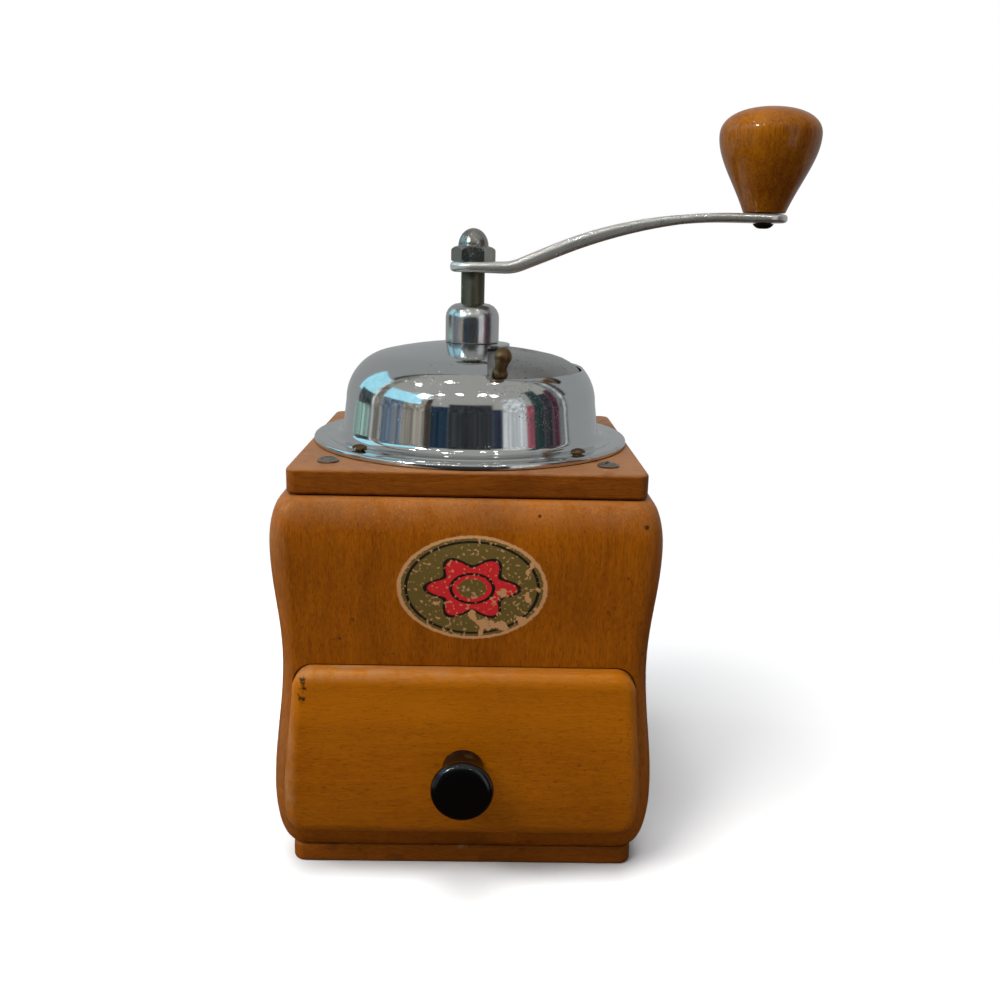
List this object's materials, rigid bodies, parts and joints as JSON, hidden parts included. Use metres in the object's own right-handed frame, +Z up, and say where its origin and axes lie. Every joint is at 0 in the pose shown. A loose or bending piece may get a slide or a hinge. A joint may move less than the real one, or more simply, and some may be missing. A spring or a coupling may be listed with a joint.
{
  "type": "manual coffee grinder",
  "caption": "Box coffee mill: waisted wooden case with a drawer, domed metal hopper with a turning shutter, and a cranked arm with a pear-shaped wooden knob.",
  "frame": {"origin": "middle of the plinth's underside, on the spindle's axis", "axes": "+Z up along the spindle; -Y out of the drawer's front; +X along the crank arm at rest"},
  "size_m": [0.175, 0.1431, 0.2441],
  "materials": {
    "body_wood": "satin lacquer, honey coloured, vertical grain",
    "top_wood": "worn satin lacquer, reddish brown",
    "knob_wood": "gloss lacquer, amber",
    "plain_wood": "bare planed wood",
    "dome_chrome": "polished, finely pitted",
    "shutter_chrome": "dull, scratched and pitted",
    "arm_nickel": "satin, worn nickel plating",
    "dark_steel": "dark oiled steel",
    "bright_steel": "bright turned steel",
    "cast_iron": "as cast, dark",
    "brass": "turned",
    "old_brass": "tarnished brown",
    "black_gloss": "gloss black"
  },
  "bodies": {
    "case": {"plinth": "body_wood", "front_board": "body_wood", "back_board": "body_wood", "left_board": "body_wood", "right_board": "body_wood", "left_runner": "plain_wood", "right_runner": "plain_wood", "top_plate": "top_wood", "hopper_dome": "dome_chrome", "spindle_sleeve": "bright_steel", "bearing_bell": "dome_chrome", "mill_housing": "cast_iron", "burr_ring": "dark_steel", "upper_bridge": "cast_iron", "upper_bush": "brass", "lower_bridge": "cast_iron", "lock_nut": "bright_steel", "corner_block_front_left": "plain_wood", "corner_block_front_right": "plain_wood", "corner_block_back_right": "plain_wood", "corner_block_back_left": "plain_wood", "plate_screw_front_left": "arm_nickel", "plate_screw_front_right": "arm_nickel", "plate_screw_back_right": "arm_nickel", "plate_screw_back_left": "arm_nickel", "flange_screw_front_left": "old_brass", "flange_screw_front_right": "old_brass", "flange_screw_back_right": "old_brass", "flange_screw_back_left": "old_brass", "housing_screw_right": "bright_steel", "housing_screw_back": "bright_steel", "housing_screw_left": "bright_steel", "housing_screw_front": "bright_steel", "bridge_screw_front": "bright_steel", "bridge_screw_back": "bright_steel", "bridge_screw_left": "bright_steel", "bridge_screw_right": "bright_steel"},
    "shutter": {"shutter_plate": "shutter_chrome", "shutter_knob": "old_brass"},
    "lift": {"thrust_ball": "bright_steel"},
    "adjuster": {"adjusting_screw": "brass"},
    "crank": {"spindle": "dark_steel", "burr_cone": "dark_steel", "burr_pin": "bright_steel", "crank_arm": "arm_nickel", "cap_nut": "shutter_chrome", "handle_pin": "bright_steel", "handle_washer": "bright_steel"},
    "handle": {"handle_knob": "knob_wood"},
    "drawer": {"drawer_front": "body_wood", "drawer_side_left": "plain_wood", "drawer_side_right": "plain_wood", "drawer_back": "plain_wood", "drawer_floor": "plain_wood", "drawer_knob": "black_gloss", "drawer_knob_screw": "bright_steel"}
  },
  "joints": [
    {"name": "shutter_turn", "type": "hinge", "parent": "case", "child": "shutter", "pos_m": [0, 0, 0.155], "axis": [0, 0, 1], "range_deg": [0, 150]},
    {"name": "spindle_lift", "type": "slide", "parent": "case", "child": "lift", "axis": [0, 0, 1], "range_m": [0, 0.001]},
    {"name": "adjuster_turn", "type": "hinge", "parent": "lift", "child": "adjuster", "pos_m": [0, 0, 0.074], "axis": [0, 0, 1], "range_deg": [0, 360]},
    {"name": "crank_turn", "type": "hinge", "parent": "lift", "child": "crank", "pos_m": [0, 0, 0.19], "axis": [0, 0, 1], "continuous": true},
    {"name": "handle_turn", "type": "hinge", "parent": "crank", "child": "handle", "pos_m": [0.0973, 0, 0.228], "axis": [0, 0, 1], "continuous": true},
    {"name": "drawer_pull", "type": "slide", "parent": "case", "child": "drawer", "axis": [0, -1, 0], "range_m": [0, 0.08]}
  ],
  "couplings": [
    {"joint": "adjuster_turn", "follows": "spindle_lift", "rad_per_m": 6283.2}
  ]
}
